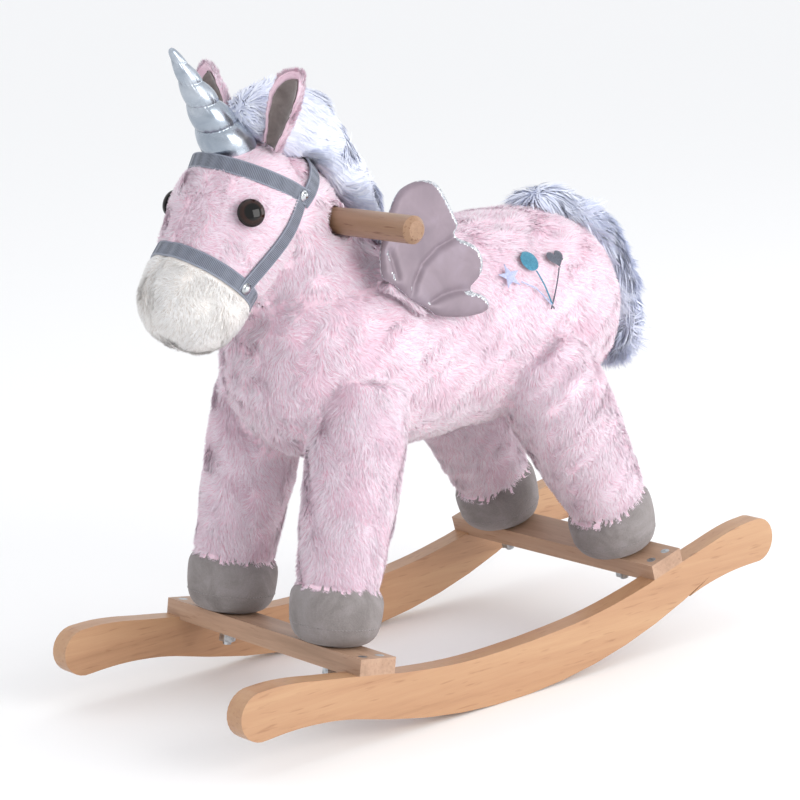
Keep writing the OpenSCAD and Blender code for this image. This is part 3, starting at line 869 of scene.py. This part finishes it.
def ear_leaf(name, side, share, y0, y1, top):
    """A cupped leaf between two depths, its edges curling towards the front."""
    lay = ear_lay(side)
    across, up, verts, faces = 20, 30, [], []
    for layer in (y0, y1):
        for j in range(up + 1):
            z = -4 + (top + 4) * j / up
            half = float(np.interp(-4 + 74 * j / up, EAR_UP, EAR_HALF)) * share
            curl = 1.5 - 0.35 * j / up
            for i in range(across + 1):
                s = 2 * i / across - 1
                deep = half / curl - layer * (1 - 0.6 * s ** 6)
                x, y = deep * math.sin(curl * s), 3.5 - half / curl + deep * math.cos(curl * s)
                ripple = 0.35 * math.sin(z * 0.33 + 2 * s) + 0.25 * math.sin(z * 0.7 - 3 * s)
                lean = -0.0016 * max(z, 0) ** 2
                verts.append(lay @ Vector((x / 1000, (y + ripple + lean) / 1000, z / 1000)))
    w, layer = across + 1, (across + 1) * (up + 1)
    for j in range(up):
        for i in range(across):
            a = j * w + i
            faces.append((a, a + 1, a + w + 1, a + w))
            faces.append((layer + a, layer + a + w, layer + a + w + 1, layer + a + 1))
    rim = [j * w for j in range(up + 1)] + [up * w + i for i in range(1, w)]
    rim += [j * w + across for j in range(up - 1, -1, -1)] + [i for i in range(across - 1, 0, -1)]
    for a, b in zip(rim, rim[1:] + rim[:1]):
        faces.append((b, a, layer + a, layer + b))
    ob = new_object(name, verts, faces)
    bm = bmesh.new()
    bm.from_mesh(ob.data)
    bmesh.ops.recalc_face_normals(bm, faces=bm.faces)
    bm.to_mesh(ob.data)
    bm.free()
    return ob


def ears():
    made = {}
    taupe = velour("ear_taupe", "857a77", "665c59")
    for side, word in ((1, "left"), (-1, "right")):
        ear = ear_leaf(f"ear_{word}_cloth", side, 1.0, -2.2, 1.0, 70)
        ear.data.materials.append(pink_back)
        lining = ear_leaf(f"ear_{word}_velour", side, 0.84, 1.2, 2.4, 63)
        lining.data.materials.append(taupe)
        for ob, cad in ((ear, f"ear_{word}"), (lining, f"ear_lining_{word}")):
            fitted(ob, f"{word}_ear", [cad])
        made[side] = (ear, lining)
    return made


def ear_piles(made):
    for side, word in ((1, "left"), (-1, "right")):
        ear, lining = made[side]
        v, t, n = arrays(ear)
        back = np.array(ear_lay(side).to_3x3() @ Vector((0, 1, 0)))
        tip = ear_lay(side).to_3x3() @ Vector((0, 0, 1))
        weight = np.clip(0.75 + n @ back, 0, 1)
        fur = grow(f"ear_{word}_pile", (v, t, n, weight), 9000, 0.0062, 0.0009, brushed(tip), pinks,
                   lean=(55, 78), stir=0.35, clear=tree_of(*arrays(lining)[:2]), seed=301 + side)
        fitted(fur, f"{word}_ear")


# ---------- wings ----------

QUILT = [[(-14, 415), (-38, 409), (-58, 398), (-70, 384), (-76, 371)],
         [(-9, 367), (-25, 369), (-42, 368), (-56, 364)],
         [(-91, 414), (-89, 402), (-88, 391)]]
WING_LEAN = math.radians(11)


def wing_lay(side):
    """The frame of a wing, in mm: x out of its face, y back, z up its slope."""
    return (REST @ Matrix.Translation((side * 0.103, 0, 0.345)) @ Matrix.Rotation(-side * WING_LEAN, 4, "Y")
            @ Matrix.Translation((0, 0, -0.345)))


def line_points(path):
    out = []
    for (a, b), (c, d) in zip(path[:-1], path[1:]):
        for s in np.linspace(0, 1, 14):
            out.append((a + (c - a) * s, b + (d - b) * s))
    return np.array(out)


def nearest(points, targets):
    tree = KDTree(len(targets))
    for i, p in enumerate(targets):
        tree.insert((p[0], p[1], 0), i)
    tree.balance()
    return np.array([tree.find((p[0], p[1], 0))[2] for p in points])


def wing(side, word, face, rim):
    """A quilted wing: satin towards the outside, glitter cloth on the back and round the edge."""
    lay = wing_lay(side)
    back_to_flat = lay.inverted()
    cad = NODES[f"wing_{word}"]
    bm = bmesh.new()
    bm.from_mesh(cad.data)
    bmesh.ops.remove_doubles(bm, verts=bm.verts, dist=1e-5)
    sharp = [e for e in bm.edges if len(e.link_faces) == 2 and e.calc_face_angle(0) > math.radians(60)]
    rim_points = []
    for e in sharp:
        p, q = (back_to_flat @ v.co for v in e.verts)
        if abs(p.x - q.x) * 1000 < 2:
            for s in np.linspace(0, 1, max(2, int((q - p).length * 1000))):
                m = p.lerp(q, s) * 1000
                rim_points.append((m.y, m.z))
    bm.free()
    ob = joined(f"wing_{word}_cloth", [f"wing_{word}"])
    voxels(ob, 0.0018)
    edges = edge_pairs(ob)
    v = spread(arrays(ob)[0], edges, 4)
    turn = np.array(back_to_flat)
    flat = (v @ turn[:3, :3].T + turn[:3, 3]) * 1000
    plane = flat[:, 1:]
    to_rim = nearest(plane, rim_points)
    to_quilt = nearest(plane, np.concatenate([line_points(q) for q in QUILT]))
    puff = 1 - (1 - np.minimum(to_rim, 12) / 12) ** 2.2
    tuck = 1 - 0.92 * np.exp(-(to_quilt / 3.4) ** 1.4)
    half = 0.9 + 4.8 * np.sqrt(puff) * tuck
    flat[:, 0] = flat[:, 0] / 5 * half
    flat[:, 0] += side * (0.0009 * np.clip(plane[:, 1] - 345, 0, 200) ** 1.7 - 1.2)
    forward = np.array(lay)
    set_points(ob, (flat / 1000) @ forward[:3, :3].T + forward[:3, 3])
    inflate(ob, (to_rim < 2.2) | (to_quilt < 1.6), 2.2, 0.003)
    n = arrays(ob)[2]
    outward = np.array(lay.to_3x3() @ Vector((side, 0, 0)))
    facing = n @ outward
    rearward = n @ np.array(lay.to_3x3() @ Vector((0, 1, 0.25)).normalized())
    ob.data.materials.append(face)
    ob.data.materials.append(rim)
    for p in ob.data.polygons:
        k = list(p.vertices)
        wrapped = to_rim[k].mean() < 8 and rearward[k].mean() > 0.2
        p.material_index = int(facing[k].mean() < 0.05 or wrapped)
    sub = ob.modifiers.new("smooth", "SUBSURF")
    sub.levels = sub.render_levels = 1
    fitted(ob, f"{word}_wing", [f"wing_{word}"])
    return ob


# ---------- embroidery ----------


def stitch_mesh(name, stitches, width, height, material):
    """Raised threads, each from a to b over the cloth, arched in the middle."""
    verts, faces = [], []
    for a, b, up in stitches:
        a, b, up = Vector(a), Vector(b), Vector(up)
        way = (b - a).normalized()
        side = way.cross(up).normalized() * width / 2
        steps = max(3, min(8, int((b - a).length / 0.0015)))
        base = len(verts)
        for i in range(steps + 1):
            s = i / steps
            arch = height * (0.35 + 0.65 * math.sin(math.pi * s) ** 0.6 if 0 < s < 1 else 0.1)
            mid = a.lerp(b, s)
            verts += [mid - side, mid - side * 0.6 + up * arch * 0.8, mid + up * arch,
                      mid + side * 0.6 + up * arch * 0.8, mid + side]
        for i in range(steps):
            for k in range(4):
                j = base + i * 5 + k
                faces.append((j, j + 1, j + 6, j + 5))
    ob = new_object(name, verts, faces)
    ob.data.materials.append(material)
    fitted(ob)
    return ob


def star_shape(r):
    return [(math.sin(k * math.pi / 5) * (r if k % 2 == 0 else r * 0.42),
             math.cos(k * math.pi / 5) * (r if k % 2 == 0 else r * 0.42)) for k in range(10)]


def round_shape(r):
    return [(math.sin(k * math.pi / 16) * r * 0.92, math.cos(k * math.pi / 16) * r) for k in range(32)]


def heart_shape(r):
    out = []
    for k in range(40):
        a = 2 * math.pi * k / 40
        out.append((r * math.sin(a) ** 3, r * (13 * math.cos(a) - 5 * math.cos(2 * a) - 2 * math.cos(3 * a)
                                               - math.cos(4 * a)) / 16))
    return out


def chords(shape, turn, pitch):
    """The lines that fill a shape at one slant, side by side."""
    c, s = math.cos(turn), math.sin(turn)
    flat = [(c * x + s * y, -s * x + c * y) for x, y in shape]
    low, high = min(p[1] for p in flat), max(p[1] for p in flat)
    out = []
    for k in range(int((high - low) / pitch)):
        y = low + pitch * (k + 0.5)
        cuts = sorted(p[0] + (y - p[1]) * (q[0] - p[0]) / (q[1] - p[1])
                      for p, q in zip(flat, flat[1:] + flat[:1]) if (p[1] - y) * (q[1] - y) < 0)
        for a, b in zip(cuts[0::2], cuts[1::2]):
            out.append(((c * a - s * y, s * a + c * y), (c * b - s * y, s * b + c * y)))
    return out


def flank_point(tree, side, u, v, lift=0.0046):
    """A point of the flank under a level-drawing place, lifted to the top of the pressed pile."""
    hit, normal, _, _ = tree.ray_cast(place(side * 180, u, v + 32), heading(-side, 0, -0.38))
    return hit + normal * lift, normal


def motif(tree, side, name, u, v, shape, turn, colour):
    """One filled motif in satin stitch."""
    stitches = []
    for a, b in chords(shape, turn, 0.75):
        p, n1 = flank_point(tree, side, u + a[0], v + a[1])
        q, n2 = flank_point(tree, side, u + b[0], v + b[1])
        stitches.append((p, q, (n1 + n2).normalized()))
    word = "left" if side > 0 else "right"
    return stitch_mesh(f"embroidery_{name}_{word}", stitches, 0.00105, 0.0012, colour)


def stem(tree, side, name, path, colour):
    """A line of short slanting stitches."""
    pts = []
    for (a, b), (c, d) in zip(path[:-1], path[1:]):
        for s in np.linspace(0, 1, max(3, int(math.hypot(c - a, d - b) / 1.6)), endpoint=False):
            pts.append((a + (c - a) * s, b + (d - b) * s))
    pts.append(path[-1])
    stitches = []
    for a, b in zip(pts[:-2], pts[2:]):
        p, n1 = flank_point(tree, side, a[0], a[1] - 0.25)
        q, n2 = flank_point(tree, side, b[0], b[1] + 0.25)
        stitches.append((p, q, (n1 + n2).normalized()))
    word = "left" if side > 0 else "right"
    return stitch_mesh(f"embroidery_{name}_{word}", stitches, 0.0012, 0.0013, colour)


def thread(name, light, dark):
    m, t, b = shader(name, light, 0.45, sheen=0.3)
    strand = noise(t, stretched(t), 500, 3, 0.6)
    tint(t, b, strand, [(0.3, dark), (0.7, light)])
    return m


KNOT = (90, 334)


def embroidery(tree):
    teal = thread("thread_teal", "4797b1", "2a7692")
    grey = thread("thread_grey", "666a78", "4a4e5b")
    silver = thread("thread_silver", "c9cfea", "a4acd0")
    made = []
    for side in (1, -1):
        made.append(motif(tree, side, "star", 52, 369, star_shape(12.5), 0.5, silver))
        made.append(motif(tree, side, "balloon", 82, 379, round_shape(10), 0.7, teal))
        made.append(motif(tree, side, "heart", 113, 376, heart_shape(9.5), 0.8, grey))
        made.append(stem(tree, side, "star_string", [(62, 362), (76, 353), KNOT], silver))
        made.append(stem(tree, side, "balloon_string", [(84, 369), (87, 354), KNOT], teal))
        made.append(stem(tree, side, "heart_string", [(112, 367), (102, 352), KNOT], grey))
        tails = [(KNOT[0] - 2, KNOT[1] - 3), KNOT, (KNOT[0] + 2, KNOT[1] - 4)]
        made.append(stem(tree, side, "knot", tails, grey))
    return made


# ---------- hoof seams ----------


def hoof_seams(tree):
    """The row of stitches round each hoof above its sole."""
    dark = thread("thread_hoof", "8b8484", "706a69")
    for name in ("front_left", "front_right", "rear_left", "rear_right"):
        lo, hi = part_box(f"hoof_{name}")
        lo, hi = Vector(lo), Vector(hi)
        centre = Vector(((lo.x + hi.x) / 2, (lo.y + hi.y) / 2, lo.z + 0.022))
        slope = math.tan(math.radians(-12 if "front" in name else 12) + REST_LEAN)
        pts = []
        for k in range(84):
            a = 2 * math.pi * k / 84
            way = Vector((math.cos(a), math.sin(a), 0))
            start = centre + way * 0.08 + Vector((0, 0, way.y * 0.04 * slope))
            hit, normal, _, _ = tree.ray_cast(start, -way)
            if hit is not None:
                pts.append((hit, normal))
        stitches = [(p[0], p[0].lerp(q[0], 0.72), p[1]) for p, q in zip(pts, pts[1:] + pts[:1])
                    if (p[0] - q[0]).length < 0.008]
        stitch_mesh(f"hoof_{name}_stitches", stitches, 0.0011, 0.0006, dark)


# ---------- run: soft body and what is sewn to it ----------

skins, body_tree, body_arrays = soft_body()

# The first material of each pile is its darker root colour: painted shade for the depth of the pile.
painted_depth_shade_pink = shader("pile_painted_depth_shade_pink", "e6b9cb", 0.95, sheen=0.2)[0]
pinks = [painted_depth_shade_pink] + [shader(f"pile_pink_{i}", c, 0.9, sheen=0.4)[0]
                       for i, c in enumerate(("ecd5e3", "efdfea", "f3e6f0", "eacfde"))]
painted_depth_shade_cream = shader("pile_painted_depth_shade_cream", "e2dcd8", 0.95, sheen=0.2)[0]
creams = [painted_depth_shade_cream] + [shader(f"pile_cream_{i}", c, 0.9, sheen=0.3)[0]
                         for i, c in enumerate(("f0edea", "f6f4f2", "fbfafa"))]
painted_depth_shade_lilac = shader("pile_painted_depth_shade_lilac", "dadff2", 0.9, sheen=0.2)[0]
lilacs = [painted_depth_shade_lilac] + [shader(f"pile_lilac_{i}", c, 0.8, sheen=0.4)[0]
                         for i, c in enumerate(("dce2f5", "e3e8f8", "ecf0fb", "dfe4f6"))]
pink_back = backing("backing_pink", "f0d6e2", "e6c2d2")
cream_back = backing("backing_cream", "eae5e1", "d8d0ca")
lilac_back = backing("backing_lilac", "dde2f4", "c5cde8")
suede_grey = suede("suede_grey")

FUR = {"torso_skin": (150000, 0.0100, (0, 0.5, -0.8)), "neck_skin": (26000, 0.0098, (0, 0.6, -0.7)),
       "head_skin": (56000, 0.0088, (0, 0.7, -0.4)), "muzzle_skin": (30000, 0.0062, (0, -0.3, -1))}


def things_in_the_way(pieces):
    """One search tree of everything that the pile must not run through."""
    verts, tris = [], []
    for ob in pieces:
        v, t, _ = arrays(ob)
        tris.append(t + sum(len(x) for x in verts))
        verts.append(v)
    return tree_of(np.concatenate(verts), np.concatenate(tris))


def dress_body(clear):
    spots = np.array([place(side * 85, u, v) for side in (1, -1)
                      for u in range(42, 122, 8) for v in range(330, 396, 9)])
    for k, (skin, (ob, normals, valley)) in enumerate(skins.items()):
        kind = skin.split("_")[0]
        inside = [STUFFING[skin]] if skin in STUFFING else []
        fitted(ob, replaced=[skin] + inside)
        if kind == "hoof":
            ob.data.materials.append(suede_grey)
            continue
        cream = kind == "muzzle"
        ob.data.materials.append(cream_back if cream else pink_back)
        count, length, way = FUR.get(skin, (62000, 0.0095, (0, 0.1, -1)))
        v, t, _ = arrays(ob)
        weight = 1 - 0.35 * np.clip(valley * 2, 0, 1)
        if kind == "torso":
            weight = weight * (1 - 0.35 * close_to(v, spots, 0.016))
        fur = grow(skin + "_pile", (v, t, normals, weight), count, length, 0.00115, brushed(heading(*way)),
                   creams if cream else pinks, clear=clear, seed=11 + 7 * k)
        fitted(fur)


def long_pile(name, body, comb, count, length, clear, seed):
    """The mane or the tail: a stuffed core with long brushed locks."""
    core = joined(name + "_core", [name])
    voxels(core, 0.004)
    edges = edge_pairs(core)
    v, t, n = arrays(core)
    set_points(core, spread(v, edges, 10) + n * 0.002)
    core.data.materials.append(lilac_back)
    v, t, n = arrays(core)
    fur = grow(name + "_pile", (v, t, n, np.ones(len(v))), count, length, 0.0016, comb, lilacs,
               lean=(77, 86), clump=0.5, clump_size=34, stir=0.6, stir_scale=0.05, steps=3, wave=0.12,
               clear=clear, seed=seed)
    fitted(core, body, [name])
    fitted(fur, body)


def mane_comb(p):
    """Out to both sides of the crest, and down the neck."""
    down = np.tile(np.array(heading(0, 0.75, -0.6)), (len(p), 1))
    return down + np.stack([np.sign(p[:, 0]) * np.clip(np.abs(p[:, 0]) / 0.03, 0.1, 1) * 0.6,
                            np.zeros(len(p)), np.zeros(len(p))], axis=1)


def tail_comb(p):
    """Down the tail, and out to both sides over the rump."""
    out = np.zeros_like(p)
    out[:, 0] = np.clip(p[:, 0] / 0.02, -1, 1) * 0.9
    return out + np.array(heading(0, -0.1, -1))


def timber():
    """Wood on every board: rockers and inner boards run front to back, bars and dowel side to side."""
    beech = wood("beech_satin", "bc9571", "b28866", "a07757", 90, 1, 0.35)
    pine = wood("pine_bare", "bf9f86", "af8d75", "987962", 120, 0, 0.35, 0.55)
    dowel = wood("dowel_beech", "a5836a", "947359", "7d604a", 130, 0, 0.8, 0.38)
    ply = wood("inner_board", "d9bd96", "c9a77f", "b38f68", 100, 1, 0.3, 0.6)
    post = wood("inner_post", "dcb48d", "cfa37b", "b98a63", 110, 2, 0.4, 0.55)
    for name, ob in NODES.items():
        kind = name.split("_")[0]
        made = {"rocker": beech, "crossbar": pine, "handle": dowel, "spine": ply, "neck": ply, "beam": pine,
                "post": post}.get(kind)
        if name in ("crossbar_screws", "handle_screw") or not made or name in ("neck_skin", "neck_stuffing"):
            continue
        paint(ob, made)
    for name, width in (("rocker_left", 0.0032), ("rocker_right", 0.0032), ("crossbar_front", 0.0012),
                        ("crossbar_rear", 0.0012)):
        soften(NODES[name], width)


def paint(ob, material):
    ob.data.materials.clear()
    ob.data.materials.append(material)


def soften(ob, width):
    mod = ob.modifiers.new("eased_edges", "BEVEL")
    mod.width, mod.segments, mod.limit_method = width, 3, "ANGLE"
    mod.angle_limit = math.radians(50)
    mod.harden_normals = False


def fittings():
    zinc = steel("zinc_plate")
    for name in ("crossbar_screws", "leg_bolts", "leg_washers", "frame_screws", "handle_screw"):
        paint(NODES[name], zinc)
    washer = shader("washer_nylon", "e4e4e0", 0.5)[0]
    paint(NODES["eye_washers"], washer)
    for name in ("eye_left", "eye_right"):
        side = 1 if "left" in name else -1
        outward = head_way(side * math.sin(math.radians(63)), math.cos(math.radians(63)), 0)
        far = max((v.co.dot(outward), tuple(v.co)) for v in NODES[name].data.vertices)[1]
        paint(NODES[name], eye_material(name + "_gloss", far))
    for name in ("wing_seam_left", "wing_seam_right"):
        paint(NODES[name], pink_back)


def web_piles():
    """Pile on the cloth webs that the wings are sewn to."""
    for k, name in enumerate(("wing_seam_left", "wing_seam_right")):
        v, t, n = arrays(NODES[name])
        fur = grow(name + "_pile", (v, t, n, np.ones(len(v))), 5000, 0.0075, 0.00115,
                   brushed(heading(0, 0.5, -0.8)), pinks, seed=701 + k)
        fitted(fur)


bridle_pieces = bridle(region_tree(("neck_skin", "head_skin", "muzzle_skin")))
horn_piece = horn()
ear_pieces = ears()
satin_cloth, glitter_cloth = satin("wing_satin"), glitter("wing_glitter")
wing_pieces = [wing(1, "left", satin_cloth, glitter_cloth), wing(-1, "right", satin_cloth, glitter_cloth)]
motif_pieces = embroidery(body_tree)
hoof_seams(body_tree)
timber()
fittings()

ear_list = [piece for pair in ear_pieces.values() for piece in pair]
solid = [NODES["handle"], NODES["eye_left"], NODES["eye_right"], horn_piece] + wing_pieces + ear_list
hooves = [skins[name][0] for name in SKINS if name.startswith("hoof")]
body_clear = things_in_the_way(solid + bridle_pieces + motif_pieces + hooves)
dress_body(body_clear)
ear_piles(ear_pieces)
web_piles()
solid_clear = things_in_the_way(solid)
long_pile("mane", ROOT, mane_comb, 30000, 0.021, solid_clear, 501)
long_pile("tail", "tail_tuft", tail_comb, 32000, 0.034, None, 601)

# ---------- stage, light and camera ----------


def studio():
    corners = [(-40, -40, 0), (40, -40, 0), (40, 40, 0), (-40, 40, 0)]
    floor = new_object("studio_floor", corners, [(0, 1, 2, 3)], False)
    floor.location.z = -0.0005
    floor.data.materials.append(shader("studio_floor", "f8f8f8", 0.8)[0])
    world = bpy.data.worlds.new("studio")
    world.use_nodes = True
    world.node_tree.nodes["Background"].inputs["Color"].default_value = (0.97, 0.98, 1.0, 1)
    world.node_tree.nodes["Background"].inputs["Strength"].default_value = 1.0
    bpy.context.scene.world = world
    lamp("key_light", (2.4, 0.3, 1.0), (0, 0, 0.3), 34, 1.6, (1.0, 0.985, 0.97))
    lamp("rear_light", (1.5, 2.4, 0.9), (0, 0.25, 0.4), 17, 1.5, (1.0, 0.99, 0.98))
    lamp("top_light", (-0.2, -0.5, 2.4), (0, 0, 0.3), 3, 1.8, (0.97, 0.98, 1.0))
    bpy.context.scene.view_settings.view_transform = "Standard"


def lamp(name, at, to, power, size, colour):
    data = bpy.data.lights.new(name, "AREA")
    data.energy, data.size, data.color = power, size, colour
    ob = bpy.data.objects.new(name, data)
    ob.location = at
    ob.rotation_euler = (Vector(to) - Vector(at)).to_track_quat("-Z", "Y").to_euler()
    bpy.context.scene.collection.objects.link(ob)


def camera():
    data = bpy.data.cameras.new("camera")
    data.lens, data.sensor_width = 115.578, 36
    data.clip_start, data.clip_end = 0.05, 50
    ob = bpy.data.objects.new("camera", data)
    back = Vector((0.74903, -0.62980, 0.20568)).normalized()
    right = Vector((0.64945, 0.75937, -0.03980)).normalized()
    up = back.cross(right)
    turn = Matrix((right, up, back)).transposed().to_4x4()
    ob.matrix_world = Matrix.Translation((1.75689, -1.50080, 0.73688)) @ turn
    bpy.context.scene.collection.objects.link(ob)
    bpy.context.scene.camera = ob


studio()
camera()
